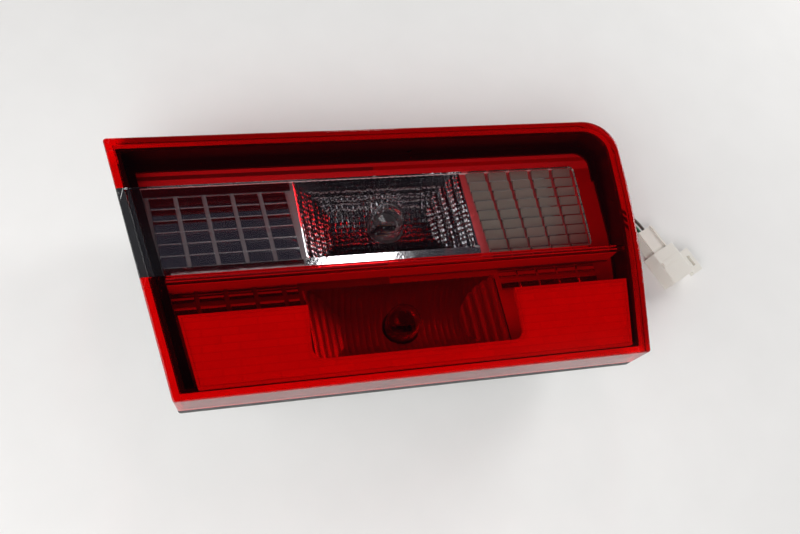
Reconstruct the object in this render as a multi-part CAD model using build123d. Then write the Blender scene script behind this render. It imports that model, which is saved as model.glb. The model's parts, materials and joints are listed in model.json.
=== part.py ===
"""Left-hand tail lamp of a boot lid, lying on its back with the lens up.

Millimetres. +Z points out of the lens, +Y to the top edge of the lamp and +X to its
straight right-hand side. Z = 0 is the plane of the four stud tips that it lies on, and the
origin is under the middle of the housing rim.
"""
import os
from math import cos, hypot, radians, sin, tan

from build123d import *

os.makedirs("parts", exist_ok=True)

# Outline of the lens, from its top left corner
TOP_WIDTH = 286.0
LENS_HEIGHT = 140.5
LEFT_SLANT = 29.7
RIGHT_BEND_DROP = 71.0
RIGHT_UPPER_SLANT = 2.5
RIGHT_LOWER_SLANT = 11.5
CORNER_RADIUS = 1.6
TOP_RIGHT_RADIUS = 19.0
RIGHT_BEND_RADIUS = 500.0
LEAST_RADIUS = 0.6

# Extra length of a block that only cuts
SPARE = 1.0

# Lens shell
SKIRT_HEIGHT = 22.0
LENS_WALL = 3.8
FACE_WALL = 2.6
CROWN_HEIGHT = 1.0
CROWN_RADIUS = 2500.0
FRONT_RADIUS = 1.2
RIB_WIDTH = 2.4
RIB_DEPTH = 4.0
RIB_SETBACK = 0.3
RIB_ROOT = 0.5
RIB_END_GAP = 2.0

# Clear window in the lens
WINDOW_DROP = 29.75
WINDOW_HEIGHT = 49.0
WINDOW_RIGHT_MARGIN = 32.5
WINDOW_CORNER = 3.0
WINDOW_JOINT = 0.05

# Housing
RIM_HEIGHT = 6.0
RIM_RIB_GAP = 0.4
RIM_RIB = 2.0
WELD_THICK = 1.0
WELD_INSET = 0.2
TUB_INSET = 4.0
TUB_DRAFT = 5.6
BACK_WALL = 2.5

# Reflectors and bezel
REFLECTOR_WALL = 2.0
FLANGE_INSET = 7.0
BOWL_AXIS_RISE = 3.0
BOWL_BACK_GAP = 4.0
UPPER_BOWL_X = 3.5
UPPER_BOWL_LENGTH = 97.0
LOWER_BOWL_X = 7.5
LOWER_BOWL_LENGTH = 107.0
BOWL_LEAN = 0.08
BULB_X = 6.0
BOWL_END = 20.0
END_STEPS = 5
END_SAG = 0.5
SPARE_FLUTES = 2
FLUTE_PITCH = 3.4
FLUTE_SAG = 0.4
UPPER_BOWL_LEDGE = 12.7
UPPER_BOWL_TOP = 20.0
LEDGE_WIDTH = 6.0
LEDGE_DROP = 1.4
LEDGE_LAP = 0.6
LOWER_BOWL_LEDGE = 5.0
LOWER_BOWL_BOTTOM = 16.75
SPLIT_GAP = 0.4
BAFFLE_WALL = 1.8
BAFFLE_SETBACK = 1.0
BAFFLE_GAP = 0.5
BEZEL_GAP = 0.8
BEZEL_WALL = 1.8
BEZEL_FLOOR = 1.5
BEZEL_FLOOR_INSET = 10.7
BEZEL_SIDE_INSET = 7.4
BEZEL_SIDE_MARGIN = 10.5
BEZEL_TOP_GAP = 2.5

# Pillows on the wings of the reflectors, in columns that lean as the sides of the lamp do
PILLOW_BASE = 0.9
PILLOW_ROOT = 0.5
PILLOW_LAND = 1.4
PILLOW_SLOPE = 0.5
PILLOW_MARGIN = 2.0
LEFT_START = 3.7
LEFT_PITCH = 14.8
LEFT_COLUMNS = 6
LEFT_LEAN = 0.146
LEFT_ROWS = 6
LEFT_SAG = 0.35
LEFT_ROWS_RISE = 11.9
LEFT_ROWS_DROP = 26.5
PAD_DROP = 21.0
SILL_WIDTH = 4.8
SILL_HEIGHT = 2.6
RIGHT_START = 3.5
RIGHT_PITCH = 12.9
RIGHT_COLUMNS = 5
RIGHT_LEAN = 0.12
RIGHT_ROWS = 9
RIGHT_SAG = 0.12
RIGHT_TILT = 23.0
RED_ROW_PITCH = 6.6
RED_ROW_LAND = 2.2
RED_ROWS = 2

# Red panel welded to the back of the red lens
PANEL_INSET = 5.0
PANEL_LEFT_GAP = 7.5
PANEL_RIGHT_GAP = 4.5
PANEL_THICK = 1.8
PANEL_WELD = 0.5
PANEL_WELD_WIDTH = 1.2
PANEL_TOP_GAP = 3.4
PANEL_MOUTH_LAP = 1.0
PANEL_BOTTOM_STRIP = 9.0
PANEL_CORNER = 6.0

# Screws from behind into bosses of the reflectors
SCREW_DIAMETER = 3.2
SCREW_LENGTH = 14.0
SCREW_HEAD = 6.5
SCREW_HEAD_HEIGHT = 2.4
SCREW_SLOT = 1.0
SCREW_SLOT_LENGTH = 4.4
SCREW_SLOT_DEPTH = 1.2
SCREW_HEAD_EDGE = 0.8
SCREW_HOLE_GAP = 0.3
BOSS_DIAMETER = 8.0
LEFT_SCREW_TO_STUD = 19.646
RIGHT_SCREW_TO_STUD = 15.654
UPPER_SCREW_RISE = 14.0
LOWER_SCREW_DROP = 13.0
SCREW_EDGE = 27.0

# Studs and gasket
STUD_DIAMETER = 5.0
STUD_REACH = 20.0
STUD_LEFT_MARGIN = 21.0
STUD_RIGHT_MARGIN = 36.0
STUD_EDGE_MARGIN = 25.75
STUD_COLLAR = 7.0
STUD_HEAD = 9.0
STUD_HEAD_HEIGHT = 3.5
STUD_TIP = 0.8
GASKET_THICK = 4.0
GASKET_WIDTH = 6.0
GASKET_INSET = 10.0
GASKET_SOCKET_GAP = 0.5
PIN_DIAMETER = 6.0
PIN_REACH = 12.0
PIN_TIP = 1.2
PIN_X = -52.0
PIN_Y = 41.0

# Vents
VENT_X = 62.0
VENT_Y = -8.0
VENT_BORE = 4.0
VENT_SPIGOT = 8.0
VENT_SPIGOT_REACH = 7.0
VENT_CAP = 12.0
VENT_CAP_ROOF = 2.0
VENT_CAP_HOLE = 1.6
VENT_CAP_EDGE = 1.2

# Bulbs and sockets
BULB_DIAMETER = 19.0
BULB_LENGTH = 17.0
BULB_WALL = 0.9
BULB_HOLE_GAP = 1.0
WEDGE_WIDTH = 15.5
WEDGE_THICK = 4.4
WEDGE_LENGTH = 12.0
LEAD_DIAMETER = 0.8
LEAD_SPACING = 7.0
LEAD_HEIGHT = 11.0
COIL_DIAMETER = 1.5
NECK_DIAMETER = 29.0
NECK_RISE = 3.0
NECK_GAP = 0.4
KEY_WIDTH = 7.0
KEY_REACH = 2.4
KEY_HEIGHT = 2.2
KEY_GAP = 0.3
KEY_TURN = 45.0
SEAL_THICK = 2.0
SEAL_WIDTH = 4.5
SOCKET_FLANGE = 2.5
GRIP_DIAMETER = 27.0
GRIP_EDGE = 1.0
SOCKET_FLOOR_GAP = 3.0
BOOT_REACH = 17.5
BOOT_WIDTH = 11.0
BOOT_HEIGHT = 8.0
BOOT_LEVEL = 9.0
CONTACT_THICK = 0.6
CONTACT_WIDTH = 9.0
CONTACT_LENGTH = 9.0
SLOT_GAP = 0.2

# Plug at the end of the wires
PLUG_X = 185.4
PLUG_Y = 25.3
PLUG_TURN = -65.0
PLUG_REAR_LENGTH = 17.0
PLUG_REAR_WIDTH = 13.0
PLUG_REAR_HEIGHT = 9.0
PLUG_REAR_LIFT = 1.0
PLUG_FRONT_LENGTH = 23.0
PLUG_FRONT_WIDTH = 18.0
PLUG_FRONT_HEIGHT = 13.0
PLUG_EDGE = 0.8
TAB_LENGTH = 17.0
TAB_WIDTH = 7.0
TAB_HEIGHT = 4.0
TAB_FORWARD = 2.0
TAB_SLOT_LENGTH = 7.5
TAB_SLOT_WIDTH = 2.2
PLUG_RIB = 1.2
PLUG_RIB_HEIGHT = 0.9
TERMINAL_PITCH = 5.0
TERMINAL_WIDTH = 2.8
TERMINAL_HEIGHT = 1.8
TERMINAL_DEPTH = 10.0
TERMINAL_STEM = 0.8
TERMINAL_SETBACK = 0.6
LOCK_LENGTH = 3.0
LOCK_HEIGHT = 4.0
LOCK_PROUD = 0.8

# Wires, laid by hand from the sockets to the plug
WIRE_DIAMETER = 2.0
WIRE_SHARE = 0.45
REVERSE_WIRE = [
    (23.5, 29.7, 9.0),
    (37.0, 29.7, 9.0),
    (61.0, 30.5, 2.2),
    (96.0, 32.0, 1.0),
    (130.0, 40.5, 1.0),
    (163.0, 51.5, 1.3),
    (182.746, 39.509, 4.0),
    (188.663, 26.821, 4.0),
]
TAIL_WIRE = [
    (23.5, -31.5, 9.0),
    (38.0, -31.5, 9.0),
    (63.0, -24.0, 2.2),
    (92.0, -6.0, 1.0),
    (119.0, 17.0, 1.0),
    (144.0, 35.5, 1.0),
    (164.0, 43.0, 1.2),
    (179.483, 37.988, 4.0),
    (185.4, 25.3, 4.0),
]
EARTH_WIRE = [
    (23.5, -35.5, 9.0),
    (38.0, -35.5, 9.0),
    (65.0, -30.0, 2.2),
    (95.0, -13.0, 1.0),
    (123.0, 10.0, 1.0),
    (148.0, 30.0, 1.0),
    (164.0, 37.0, 1.2),
    (177.066, 34.655, 4.0),
    (182.137, 23.779, 4.0),
]
LINK_WIRE = [
    (-11.5, 27.2, 9.0),
    (-23.0, 27.2, 9.0),
    (-36.0, 15.0, 2.6),
    (-40.0, -4.0, 1.0),
    (-35.0, -22.5, 2.6),
    (-23.0, -33.5, 9.0),
    (-11.5, -33.5, 9.0),
]


def inset_corners(inset):
    """Corners of the lens outline moved inwards by inset, clockwise from the top left one."""
    corners = [
        (0.0, 0.0),
        (TOP_WIDTH, 0.0),
        (TOP_WIDTH - RIGHT_UPPER_SLANT, -RIGHT_BEND_DROP),
        (TOP_WIDTH - RIGHT_UPPER_SLANT - RIGHT_LOWER_SLANT, -LENS_HEIGHT),
        (LEFT_SLANT, -LENS_HEIGHT),
    ]
    sides = []
    for start, end in zip(corners, corners[1:] + corners[:1]):
        length = hypot(end[0] - start[0], end[1] - start[1])
        along = ((end[0] - start[0]) / length, (end[1] - start[1]) / length)
        base = (start[0] + along[1] * inset, start[1] - along[0] * inset)
        sides.append((base, along))
    moved = []
    for before, after in zip(sides[-1:] + sides[:-1], sides):
        (ax, ay), (ux, uy) = before
        (bx, by), (vx, vy) = after
        reach = ((bx - ax) * vy - (by - ay) * vx) / (ux * vy - uy * vx)
        moved.append((ax + ux * reach, ay + uy * reach))
    return moved


def loose_outline(inset):
    """Face of the outline with rounded corners, still measured from the top left corner."""
    corners = inset_corners(inset)
    radii = [CORNER_RADIUS, TOP_RIGHT_RADIUS, RIGHT_BEND_RADIUS, CORNER_RADIUS, CORNER_RADIUS]
    face = Polygon(*corners, align=None)
    for corner, radius in zip(corners, radii):
        point = Vector(corner[0], corner[1], 0)
        vertex = min(face.vertices(), key=lambda v: (Vector(v.X, v.Y, 0) - point).length)
        face = fillet(vertex, max(radius - inset, LEAST_RADIUS))
    return face


rim_middle = loose_outline(0.0).bounding_box().center()


def outline(inset, level=0.0):
    """Face of the outline at a level, measured from the middle of the housing rim."""
    return Pos(-rim_middle.X, -rim_middle.Y, level) * loose_outline(inset)


def block(x0, x1, y0, y1, z0, z1):
    """Box given by its six limits."""
    middle = ((x0 + x1) / 2, (y0 + y1) / 2, (z0 + z1) / 2)
    return Pos(*middle) * Box(x1 - x0, y1 - y0, z1 - z0)


def post(x, y, z0, z1, diameter):
    """Upright round post or hole between two levels."""
    return Pos(x, y, (z0 + z1) / 2) * Cylinder(diameter / 2, z1 - z0)


def prism(inset, z0, z1):
    """Upright block of the outline between two levels."""
    return extrude(outline(inset, z0), z1 - z0, dir=(0, 0, 1))


# Places that follow from the sizes
left_x = -rim_middle.X
right_x = TOP_WIDTH - rim_middle.X
top_y = -rim_middle.Y
bottom_y = top_y - LENS_HEIGHT
window_top = top_y - WINDOW_DROP
split_y = window_top - WINDOW_HEIGHT
window_right = right_x - WINDOW_RIGHT_MARGIN

upper_low = split_y + UPPER_BOWL_LEDGE
upper_high = top_y - UPPER_BOWL_TOP
upper_y = (upper_low + upper_high) / 2
upper_radius = hypot((upper_high - upper_low) / 2, BOWL_AXIS_RISE)
lower_high = split_y - LOWER_BOWL_LEDGE
lower_low = bottom_y + LOWER_BOWL_BOTTOM
lower_y = (lower_low + lower_high) / 2
lower_radius = hypot((lower_high - lower_low) / 2, BOWL_AXIS_RISE)
upper_left = UPPER_BOWL_X - UPPER_BOWL_LENGTH / 2
upper_right = UPPER_BOWL_X + UPPER_BOWL_LENGTH / 2
lower_left = LOWER_BOWL_X - LOWER_BOWL_LENGTH / 2
lower_right = LOWER_BOWL_X + LOWER_BOWL_LENGTH / 2

gasket_z = STUD_REACH
back_z = gasket_z + GASKET_THICK
inside_z = back_z + BACK_WALL
deepest = max(upper_radius, lower_radius) - BOWL_AXIS_RISE
panel_z = inside_z + BOWL_BACK_GAP + REFLECTOR_WALL + deepest
weld_z = panel_z - WELD_THICK
rim_under_z = panel_z - RIM_HEIGHT
edge_z = panel_z + SKIRT_HEIGHT
face_z = edge_z - FACE_WALL
flange_z = panel_z - REFLECTOR_WALL
baffle_high = split_y - BAFFLE_SETBACK
baffle_low = baffle_high - BAFFLE_WALL
red_rows_high = baffle_low - BAFFLE_GAP
red_rows_low = red_rows_high - RED_ROWS * RED_ROW_PITCH
rim_inner = LENS_WALL + RIM_RIB_GAP + RIM_RIB

bulbs = {"reverse": (BULB_X, upper_y), "tail": (BULB_X, lower_y)}
stud_left = left_x + LEFT_SLANT + STUD_LEFT_MARGIN
stud_right = right_x - RIGHT_UPPER_SLANT - RIGHT_LOWER_SLANT - STUD_RIGHT_MARGIN
stud_ys = (bottom_y + STUD_EDGE_MARGIN, top_y - STUD_EDGE_MARGIN)
studs_at = [(x, y) for x in (stud_left, stud_right) for y in stud_ys]
screw_xs = [stud_left + LEFT_SCREW_TO_STUD, stud_right - RIGHT_SCREW_TO_STUD]
upper_screws = [(x, y) for x in screw_xs for y in (split_y + UPPER_SCREW_RISE, top_y - SCREW_EDGE)]
lower_screws = [(x, y) for x in screw_xs for y in (split_y - LOWER_SCREW_DROP, bottom_y + SCREW_EDGE)]


def lens_shell():
    """Whole lens before it is parted into the red moulding and the clear window."""
    crown_top = edge_z + CROWN_HEIGHT
    shell = prism(0.0, panel_z, crown_top + SPARE)
    crown = Pos(0, 0, crown_top - CROWN_RADIUS) * Rot(0, 90, 0) * Cylinder(CROWN_RADIUS, 2 * TOP_WIDTH)
    shell = shell & crown
    shell = fillet(shell.faces().sort_by(Axis.Z)[-1].edges(), FRONT_RADIUS)
    return shell - prism(LENS_WALL, panel_z - SPARE, face_z)


def window_block(grow):
    """Block that parts the window from the red lens, open to the left."""
    far_left = left_x - LENS_HEIGHT
    end = window_right + grow
    place = Pos((far_left + end) / 2, split_y + WINDOW_HEIGHT / 2, weld_z - SPARE)
    face = place * RectangleRounded(end - far_left, WINDOW_HEIGHT + 2 * grow, WINDOW_CORNER + grow)
    return extrude(face, edge_z + CROWN_HEIGHT - weld_z + 2 * SPARE)


def lens_red(shell):
    """Red lens with the window taken out and a rib under it."""
    rib_top = split_y - RIB_SETBACK
    rib = block(left_x, right_x, rib_top - RIB_WIDTH, rib_top, face_z - RIB_DEPTH, face_z + RIB_ROOT)
    ends = prism(LENS_WALL + BEZEL_GAP + BEZEL_WALL + RIB_END_GAP, panel_z, edge_z)
    return shell - window_block(WINDOW_JOINT) + (rib & ends)


def weld_ring():
    """Flat weld bead between the foot of the lens and the rim of the housing."""
    ring = prism(WELD_INSET, weld_z, panel_z)
    return ring - prism(LENS_WALL - WELD_INSET, weld_z - SPARE, panel_z + SPARE)


def housing():
    """Tub with a flat rim, socket holes, stud holes, vent spigots and a locating pin."""
    rim = prism(0.0, rim_under_z, weld_z) + prism(LENS_WALL + RIM_RIB_GAP, rim_under_z, panel_z)
    tub = loft([outline(TUB_INSET + TUB_DRAFT, back_z), outline(TUB_INSET, rim_under_z)], ruled=True)
    cavity = loft([outline(rim_inner + TUB_DRAFT, inside_z), outline(rim_inner, rim_under_z)], ruled=True)
    body = rim + tub - cavity - prism(rim_inner, rim_under_z, panel_z + SPARE)
    hole = NECK_DIAMETER + 2 * NECK_GAP
    for x, y in bulbs.values():
        body -= post(x, y, back_z - SPARE, inside_z + SPARE, hole)
        body -= Pos(x, y, 0) * socket_keys(back_z - SPARE, inside_z + SPARE, KEY_GAP)
    for x, y in studs_at:
        body -= post(x, y, back_z - SPARE, inside_z + SPARE, STUD_COLLAR)
    for x, y in upper_screws + lower_screws:
        body -= post(x, y, back_z - SPARE, inside_z + SPARE, SCREW_DIAMETER + SCREW_HOLE_GAP)
    for side in (-1, 1):
        body += post(side * VENT_X, VENT_Y, back_z - VENT_SPIGOT_REACH, back_z, VENT_SPIGOT)
        body -= post(side * VENT_X, VENT_Y, back_z - VENT_SPIGOT_REACH, inside_z, VENT_BORE)
    pin = post(PIN_X, PIN_Y, gasket_z - PIN_REACH, back_z, PIN_DIAMETER)
    pin = chamfer(pin.edges().sort_by(Axis.Z)[0], PIN_TIP)
    return body + pin


def bezel():
    """Black ring wall inside the skirt of the lens, with a narrow floor."""
    outside = LENS_WALL + BEZEL_GAP
    wall = prism(outside, panel_z, face_z - BEZEL_TOP_GAP)
    wall -= prism(outside + BEZEL_WALL, panel_z + BEZEL_FLOOR, face_z)
    wall -= prism(BEZEL_FLOOR_INSET, panel_z - SPARE, face_z)
    side_low = bottom_y + BEZEL_FLOOR_INSET
    side = block(0, right_x - BEZEL_SIDE_MARGIN, side_low, window_top, panel_z - SPARE, face_z)
    return wall - (side & prism(BEZEL_SIDE_INSET, panel_z - SPARE, face_z))


def bowl_flutes(radius, length):
    """Round trough along X with fine flutes round its wall, longer than the bowl."""
    flutes = round(length / FLUTE_PITCH) + 2 * SPARE_FLUTES
    half = flutes * FLUTE_PITCH / 2
    edges = [Line((-half, 0.0), (-half, radius))]
    for flute in range(flutes):
        start = -half + flute * FLUTE_PITCH
        middle = (start + FLUTE_PITCH / 2, radius - FLUTE_SAG)
        edges.append(ThreePointArc((start, radius), middle, (start + FLUTE_PITCH, radius)))
    edges.append(Line((half, radius), (half, 0.0)))
    edges.append(Line((half, 0.0), (-half, 0.0)))
    return revolve(make_face(edges), Axis.X, 360)


def lean_prism(face, reach):
    """Prism along Y whose ends lean as the sides of the lamp do."""
    across = Plane((-BOWL_LEAN * reach, reach, 0), x_dir=(1, 0, 0), z_dir=(0, -1, 0))
    return extrude(across * face, 2 * reach * hypot(1, BOWL_LEAN), dir=(BOWL_LEAN, -1, 0))


def bowl_ends(radius, length):
    """Prism along Y whose sloping ends are stepped into narrow rounded strips."""
    half = length / 2
    step = BOWL_END / END_STEPS
    fall = (radius - BOWL_AXIS_RISE) / END_STEPS
    mouth = -BOWL_AXIS_RISE
    left = []
    right = []
    for place in range(END_STEPS):
        high = mouth - place * fall
        inner = (half - (place + 0.5) * step - END_SAG, high - fall / 2 + END_SAG)
        start = (half - place * step, high)
        end = (half - (place + 1) * step, high - fall)
        right.append(ThreePointArc(start, inner, end))
        left.append(ThreePointArc((-start[0], start[1]), (-inner[0], inner[1]), (-end[0], end[1])))
    floor = mouth - END_STEPS * fall - radius
    inner_x = half - BOWL_END
    sides = [
        Line((inner_x, mouth - END_STEPS * fall), (inner_x, floor)),
        Line((inner_x, floor), (-inner_x, floor)),
        Line((-inner_x, floor), (-inner_x, mouth - END_STEPS * fall)),
        Line((-half, mouth), (-half, radius)),
        Line((-half, radius), (half, radius)),
        Line((half, radius), (half, mouth)),
    ]
    return lean_prism(make_face(left + right + sides), 2 * radius)


def bowl_shell(radius, length):
    """Plain outer shell round a bowl."""
    half = length / 2 + REFLECTOR_WALL
    outer = radius + REFLECTOR_WALL
    trough = Rot(0, 90, 0) * Cylinder(outer, 2 * length)
    slope = Polygon(
        (-half, outer),
        (-half, -BOWL_AXIS_RISE),
        (-half + BOWL_END, -outer),
        (half - BOWL_END, -outer),
        (half, -BOWL_AXIS_RISE),
        (half, outer),
        align=None,
    )
    return trough & lean_prism(slope, 2 * outer)


def beside(x, y, side):
    """Block to the left (-1) or to the right (1) of a leaning line through a point."""
    far = x + side * 2 * TOP_WIDTH
    high_x = x - BOWL_LEAN * (top_y - y)
    low_x = x + BOWL_LEAN * (y - bottom_y)
    face = Polygon((high_x, top_y), (low_x, bottom_y), (far, bottom_y), (far, top_y), align=None)
    return extrude(Pos(0, 0, inside_z) * face, edge_z - inside_z, dir=(0, 0, 1))


def pillow_rows(y0, y1, rows, sag, tilt):
    """Section of pillow rows on a panel, each tilted towards the lower edge of the lamp."""
    pitch = (y1 - y0) / rows
    rise = pitch * tan(radians(tilt))
    base = panel_z + PILLOW_BASE
    root = panel_z - PILLOW_ROOT
    edges = []
    foot = (y0, root)
    ends = [y0 + row * pitch for row in range(rows)] + [y1]
    for low_y, high_y in zip(ends, ends[1:]):
        low = (low_y, base)
        high = (high_y, base + rise)
        middle = ((low_y + high_y) / 2, base + rise / 2 + sag)
        if foot != low:
            edges.append(Line(foot, low))
        edges.append(ThreePointArc(low, middle, high))
        foot = high
    edges.append(Line(foot, (y1, root)))
    edges.append(Line((y1, root), (y0, root)))
    return make_face(edges), base + rise + sag


def pillow_column(x0, x1, lean, y0, y1, section):
    """Leaning strip of pillow rows, placed by its sides at the level of the upper bowl."""
    rows, high = section
    root = panel_z - PILLOW_ROOT
    across = Plane((2 * left_x, 0, 0), x_dir=(0, 1, 0), z_dir=(1, 0, 0))
    strip = extrude(across * rows, 4 * right_x)
    slopes = Polygon(
        (x0, root),
        (x1, root),
        (x1, panel_z),
        (x1 - PILLOW_SLOPE, high),
        (x0 + PILLOW_SLOPE, high),
        (x0, panel_z),
        align=None,
    )
    top = y1 + SPARE
    along = Plane((lean * (upper_y - top), top, 0), x_dir=(1, 0, 0), z_dir=(0, -1, 0))
    length = (y1 - y0 + 2 * SPARE) * hypot(1, lean)
    return strip & extrude(along * slopes, length, dir=(lean, -1, 0))


def clipped(strips, field):
    """Strips cut to a field, without those that lie wholly outside it."""
    cut = [field & strip for strip in strips]
    return [strip for strip in cut if strip.volume > 0]


def left_pillows(y0, y1, rows, field):
    """Pillow columns to the left of a bowl."""
    section = pillow_rows(y0, y1, rows, LEFT_SAG, 0.0)
    strips = []
    for column in range(LEFT_COLUMNS):
        end = upper_left - LEFT_START - column * LEFT_PITCH
        strips.append(pillow_column(end - LEFT_PITCH + PILLOW_LAND, end, LEFT_LEAN, y0, y1, section))
    return clipped(strips, field)


def right_pillows(y0, y1, rows, field, tilt):
    """Pillow columns to the right of a bowl, which lean less and less."""
    section = pillow_rows(y0, y1, rows, RIGHT_SAG, tilt)
    strips = []
    for column in range(RIGHT_COLUMNS):
        start = upper_right + RIGHT_START + column * RIGHT_PITCH
        lean = RIGHT_LEAN * (1 - column / RIGHT_COLUMNS)
        strips.append(pillow_column(start, start + RIGHT_PITCH - PILLOW_LAND, lean, y0, y1, section))
    return clipped(strips, field)


def reflector(x, y, radius, length, screws, low, high, strips):
    """Bright panel with one fluted bowl, pillow strips, a bulb hole and screw bosses on its back."""
    axis = Pos(x, y, panel_z + BOWL_AXIS_RISE)
    flange = prism(FLANGE_INSET, flange_z, panel_z) & block(2 * left_x, 2 * right_x, low, high, 0, edge_z)
    under = block(2 * left_x, 2 * right_x, low, high, inside_z, panel_z)
    body = flange + (axis * bowl_shell(radius, length) & under)
    for boss_x, boss_y in screws:
        body += post(boss_x, boss_y, inside_z, panel_z - REFLECTOR_WALL / 2, BOSS_DIAMETER)
    room = prism(BEZEL_FLOOR_INSET + BAFFLE_GAP, flange_z, edge_z)
    for strip in clipped(strips, room):
        body += strip
    body -= axis * (bowl_flutes(radius, length) & bowl_ends(radius, length))
    for boss_x, boss_y in screws:
        body -= post(boss_x, boss_y, inside_z, inside_z + SCREW_LENGTH - BACK_WALL, SCREW_DIAMETER)
    return body - post(BULB_X, y, inside_z, panel_z, BULB_DIAMETER + 2 * BULB_HOLE_GAP)


def reverse_reflector():
    """Upper reflector behind the clear window, with a sloping ledge under its bowl."""
    low = split_y + SPLIT_GAP / 2
    rows_low = split_y + LEFT_ROWS_RISE
    rows_high = top_y - LEFT_ROWS_DROP
    left_field = beside(upper_left - PILLOW_MARGIN, upper_y, -1)
    right_field = beside(upper_right + PILLOW_MARGIN, upper_y, 1)
    strips = left_pillows(rows_low, rows_high, LEFT_ROWS, left_field)
    rows_end = upper_high - PILLOW_MARGIN
    strips += right_pillows(low + PILLOW_MARGIN, rows_end, RIGHT_ROWS, right_field, RIGHT_TILT)
    pad_low = rows_high + PILLOW_LAND / 2
    root = panel_z - PILLOW_ROOT
    pad = block(left_x, upper_right, pad_low, top_y - PAD_DROP, root, panel_z + PILLOW_BASE)
    strips.append(pad & left_field)
    sill_high = rows_low - PILLOW_LAND / 2
    sill = Polygon(
        (sill_high, root),
        (sill_high, panel_z + SILL_HEIGHT),
        (sill_high - SILL_WIDTH, panel_z),
        (sill_high - SILL_WIDTH, root),
        align=None,
    )
    along = Plane((left_x, 0, 0), x_dir=(0, 1, 0), z_dir=(1, 0, 0))
    strips.append(extrude(along * sill, TOP_WIDTH, dir=(1, 0, 0)) & left_field)
    body = reflector(
        UPPER_BOWL_X, upper_y, upper_radius, UPPER_BOWL_LENGTH, upper_screws, low, top_y, strips
    )
    ledge_end = upper_low + 2 * FLUTE_SAG
    ledge_start = upper_low - LEDGE_WIDTH
    corners = [(ledge_start, panel_z), (ledge_end, panel_z - LEDGE_DROP), (ledge_end, panel_z)]
    ledge = Polygon(*corners, align=None)
    ledge_left = upper_left + BOWL_LEAN * (upper_y - upper_low) - LEDGE_LAP
    across = Plane((ledge_left, 0, 0), x_dir=(0, 1, 0), z_dir=(1, 0, 0))
    return body - extrude(across * ledge, UPPER_BOWL_LENGTH + 2 * LEDGE_LAP, dir=(1, 0, 0))


def tail_reflector():
    """Lower reflector with the wall that keeps the two lights apart."""
    high = split_y - SPLIT_GAP / 2
    left_field = beside(lower_left - PILLOW_MARGIN, lower_y, -1)
    right_field = beside(lower_right + PILLOW_MARGIN, lower_y, 1)
    strips = []
    for row in range(RED_ROWS):
        row_high = red_rows_high - row * RED_ROW_PITCH
        row_low = row_high - RED_ROW_PITCH + RED_ROW_LAND
        strips += left_pillows(row_low, row_high, 1, left_field)
        strips += right_pillows(row_low, row_high, 1, right_field, 0.0)
    body = reflector(
        LOWER_BOWL_X, lower_y, lower_radius, LOWER_BOWL_LENGTH, lower_screws, bottom_y, high, strips
    )
    top = face_z - RIB_DEPTH - BAFFLE_GAP
    wall = block(left_x, right_x, baffle_low, baffle_high, flange_z, top)
    return body + (wall & prism(BEZEL_FLOOR_INSET + BAFFLE_GAP, flange_z, top))


def red_panel():
    """Red panel round three sides of the lower bowl, welded by its raised edge to the lens."""
    low = face_z - PANEL_WELD - PANEL_THICK
    top = red_rows_low - PANEL_TOP_GAP
    sill = bottom_y + PANEL_INSET + PANEL_BOTTOM_STRIP
    gap_left = lower_left - PANEL_MOUTH_LAP
    gap_right = lower_right + PANEL_MOUTH_LAP

    def panel(edge, z0, z1):
        plate = prism(PANEL_INSET + edge, z0, z1)
        plate = plate & Pos(PANEL_LEFT_GAP, 0, 0) * plate & Pos(-PANEL_RIGHT_GAP, 0, 0) * plate
        plate = plate & block(2 * left_x, 2 * right_x, 2 * bottom_y, top - edge, 0, 2 * edge_z)
        gap_height = 2 * (top - sill)
        mouth = RectangleRounded(gap_right - gap_left + 2 * edge, gap_height + 2 * edge, PANEL_CORNER + edge)
        place = Pos((gap_left + gap_right) / 2, sill + gap_height / 2, 0)
        return plate - extrude(place * mouth, 2 * edge_z)

    return panel(0.0, low, face_z) - panel(PANEL_WELD_WIDTH, face_z - PANEL_WELD, 2 * edge_z)


def socket_keys(z0, z1, gap):
    """Three turn-lock keys about the axis of a socket, or their notches in the housing."""
    reach = NECK_DIAMETER / 2 + KEY_REACH + gap
    turn = KEY_TURN if gap == 0 else 0.0
    keys = []
    for place in range(3):
        key = block(0, reach, -KEY_WIDTH / 2 - gap, KEY_WIDTH / 2 + gap, z0, z1)
        keys.append(Rot(0, 0, turn + 120.0 * place) * key)
    return keys[0] + keys[1] + keys[2]


seal_diameter = NECK_DIAMETER + 2 * SEAL_WIDTH
seat_z = inside_z + NECK_RISE
flange_top = back_z - SEAL_THICK
flange_under = flange_top - SOCKET_FLANGE
wedge_z = seat_z - WEDGE_LENGTH


def bulb_glass(x, y):
    """Hollow wedge-base bulb with holes for its two lead wires."""
    radius = BULB_DIAMETER / 2
    top = seat_z + BULB_LENGTH
    outer = post(0, 0, seat_z, top, BULB_DIAMETER) + Pos(0, 0, top) * Sphere(radius)
    inner = post(0, 0, seat_z + 2 * BULB_WALL, top, BULB_DIAMETER - 2 * BULB_WALL)
    inner += Pos(0, 0, top) * Sphere(radius - BULB_WALL)
    half = WEDGE_THICK / 2
    wedge = block(-WEDGE_WIDTH / 2, WEDGE_WIDTH / 2, -half, half, wedge_z, seat_z + BULB_WALL)
    glass = outer - inner + wedge
    for side in (-1, 1):
        glass -= post(side * LEAD_SPACING / 2, 0, wedge_z, seat_z + 3 * BULB_WALL, LEAD_DIAMETER)
    return Pos(x, y, 0) * glass


def bulb_filament(x, y):
    """Two lead wires with the coil across their tops."""
    top = seat_z + LEAD_HEIGHT
    coil = Pos(0, 0, top) * Rot(0, 90, 0) * Cylinder(COIL_DIAMETER / 2, LEAD_SPACING + LEAD_DIAMETER)
    parts = coil
    for side in (-1, 1):
        parts += post(side * LEAD_SPACING / 2, 0, wedge_z, top, LEAD_DIAMETER)
    return Pos(x, y, 0) * parts


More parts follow.
